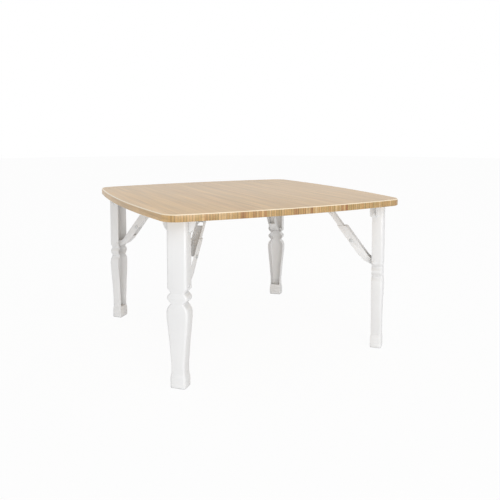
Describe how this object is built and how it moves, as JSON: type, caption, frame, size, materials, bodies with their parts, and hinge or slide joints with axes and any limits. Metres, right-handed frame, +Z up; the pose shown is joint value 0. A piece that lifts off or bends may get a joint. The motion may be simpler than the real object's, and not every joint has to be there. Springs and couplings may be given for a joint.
{
  "type": "low folding table",
  "caption": "Square low table with a laminated wood top, rounded corners and white column-style steel legs that fold in under the top on hinged braces.",
  "frame": {"origin": "on the floor, under the middle of the table top (centre of the bounding box's bottom face)", "axes": "+Z up, +X to the right and +Y to the back as seen in the picture; the legs stand on the diagonals"},
  "size_m": [0.5998, 0.5998, 0.35],
  "materials": {
    "bamboo": "satin lacquer over laminated strips, long grain along Y",
    "white_enamel": "smooth white baked enamel",
    "white_plastic": "fine matt moulding",
    "bush_plastic": "plain moulded",
    "rivet_steel": "plated rivet",
    "screw_steel": "plated screw"
  },
  "bodies": {
    "table": {"tabletop_panel": "bamboo", "leg_bracket_front_left": "white_enamel", "leg_pivot_pin_front_left": "white_enamel", "brace_bracket_front_left": "white_enamel", "brace_pin_front_left": "rivet_steel", "leg_bracket_screws_front_left": "screw_steel", "brace_bracket_screws_front_left": "screw_steel", "leg_bracket_front_right": "white_enamel", "leg_pivot_pin_front_right": "white_enamel", "brace_bracket_front_right": "white_enamel", "brace_pin_front_right": "rivet_steel", "leg_bracket_screws_front_right": "screw_steel", "brace_bracket_screws_front_right": "screw_steel", "leg_bracket_back_right": "white_enamel", "leg_pivot_pin_back_right": "white_enamel", "brace_bracket_back_right": "white_enamel", "brace_pin_back_right": "rivet_steel", "leg_bracket_screws_back_right": "screw_steel", "brace_bracket_screws_back_right": "screw_steel", "leg_bracket_back_left": "white_enamel", "leg_pivot_pin_back_left": "white_enamel", "brace_bracket_back_left": "white_enamel", "brace_pin_back_left": "rivet_steel", "leg_bracket_screws_back_left": "screw_steel", "brace_bracket_screws_back_left": "screw_steel"},
    "front_left_leg": {"leg_front_left": "white_enamel", "foot_cap_front_left": "white_plastic", "leg_link_rivets_front_left": "white_enamel", "spacer_bushes_front_left": "bush_plastic"},
    "front_left_lower_link": {"lower_link_front_left": "white_enamel", "elbow_rivets_front_left": "rivet_steel"},
    "front_left_upper_link": {"upper_link_front_left": "white_enamel"},
    "front_right_leg": {"leg_front_right": "white_enamel", "foot_cap_front_right": "white_plastic", "leg_link_rivets_front_right": "white_enamel", "spacer_bushes_front_right": "bush_plastic"},
    "front_right_lower_link": {"lower_link_front_right": "white_enamel", "elbow_rivets_front_right": "rivet_steel"},
    "front_right_upper_link": {"upper_link_front_right": "white_enamel"},
    "back_right_leg": {"leg_back_right": "white_enamel", "foot_cap_back_right": "white_plastic", "leg_link_rivets_back_right": "white_enamel", "spacer_bushes_back_right": "bush_plastic"},
    "back_right_lower_link": {"lower_link_back_right": "white_enamel", "elbow_rivets_back_right": "rivet_steel"},
    "back_right_upper_link": {"upper_link_back_right": "white_enamel"},
    "back_left_leg": {"leg_back_left": "white_enamel", "foot_cap_back_left": "white_plastic", "leg_link_rivets_back_left": "white_enamel", "spacer_bushes_back_left": "bush_plastic"},
    "back_left_lower_link": {"lower_link_back_left": "white_enamel", "elbow_rivets_back_left": "rivet_steel"},
    "back_left_upper_link": {"upper_link_back_left": "white_enamel"}
  },
  "joints": [
    {"name": "front_left_fold", "type": "hinge", "parent": "table", "child": "front_left_leg", "pos_m": [-0.23827, -0.23827, 0.315], "axis": [0.7071, -0.7071, 0], "range_deg": [0, 90]},
    {"name": "front_left_lower_link_turn", "type": "hinge", "parent": "front_left_leg", "child": "front_left_lower_link", "pos_m": [-0.23933, -0.23933, 0.20218], "axis": [0.7071, -0.7071, 0], "range_deg": [-133.18, 0]},
    {"name": "front_left_upper_link_turn", "type": "hinge", "parent": "table", "child": "front_left_upper_link", "pos_m": [-0.16527, -0.16527, 0.314], "axis": [0.7071, -0.7071, 0], "range_deg": [0, 124.25]},
    {"name": "front_right_fold", "type": "hinge", "parent": "table", "child": "front_right_leg", "pos_m": [0.23827, -0.23827, 0.315], "axis": [0.7071, 0.7071, 0], "range_deg": [0, 90]},
    {"name": "front_right_lower_link_turn", "type": "hinge", "parent": "front_right_leg", "child": "front_right_lower_link", "pos_m": [0.23933, -0.23933, 0.20218], "axis": [0.7071, 0.7071, 0], "range_deg": [-133.18, 0]},
    {"name": "front_right_upper_link_turn", "type": "hinge", "parent": "table", "child": "front_right_upper_link", "pos_m": [0.16527, -0.16527, 0.314], "axis": [0.7071, 0.7071, 0], "range_deg": [0, 124.25]},
    {"name": "back_right_fold", "type": "hinge", "parent": "table", "child": "back_right_leg", "pos_m": [0.23827, 0.23827, 0.315], "axis": [-0.7071, 0.7071, 0], "range_deg": [0, 90]},
    {"name": "back_right_lower_link_turn", "type": "hinge", "parent": "back_right_leg", "child": "back_right_lower_link", "pos_m": [0.23933, 0.23933, 0.20218], "axis": [-0.7071, 0.7071, 0], "range_deg": [-133.18, 0]},
    {"name": "back_right_upper_link_turn", "type": "hinge", "parent": "table", "child": "back_right_upper_link", "pos_m": [0.16527, 0.16527, 0.314], "axis": [-0.7071, 0.7071, 0], "range_deg": [0, 124.25]},
    {"name": "back_left_fold", "type": "hinge", "parent": "table", "child": "back_left_leg", "pos_m": [-0.23827, 0.23827, 0.315], "axis": [-0.7071, -0.7071, 0], "range_deg": [0, 90]},
    {"name": "back_left_lower_link_turn", "type": "hinge", "parent": "back_left_leg", "child": "back_left_lower_link", "pos_m": [-0.23933, 0.23933, 0.20218], "axis": [-0.7071, -0.7071, 0], "range_deg": [-133.18, 0]},
    {"name": "back_left_upper_link_turn", "type": "hinge", "parent": "table", "child": "back_left_upper_link", "pos_m": [-0.16527, 0.16527, 0.314], "axis": [-0.7071, -0.7071, 0], "range_deg": [0, 124.25]}
  ],
  "couplings": [
    {"joint": "front_left_lower_link_turn", "follows": "front_left_fold", "ratio": -1.4796},
    {"joint": "front_left_upper_link_turn", "follows": "front_left_fold", "ratio": 1.3804},
    {"joint": "front_right_lower_link_turn", "follows": "front_right_fold", "ratio": -1.4796},
    {"joint": "front_right_upper_link_turn", "follows": "front_right_fold", "ratio": 1.3804},
    {"joint": "back_right_lower_link_turn", "follows": "back_right_fold", "ratio": -1.4796},
    {"joint": "back_right_upper_link_turn", "follows": "back_right_fold", "ratio": 1.3804},
    {"joint": "back_left_lower_link_turn", "follows": "back_left_fold", "ratio": -1.4796},
    {"joint": "back_left_upper_link_turn", "follows": "back_left_fold", "ratio": 1.3804}
  ]
}
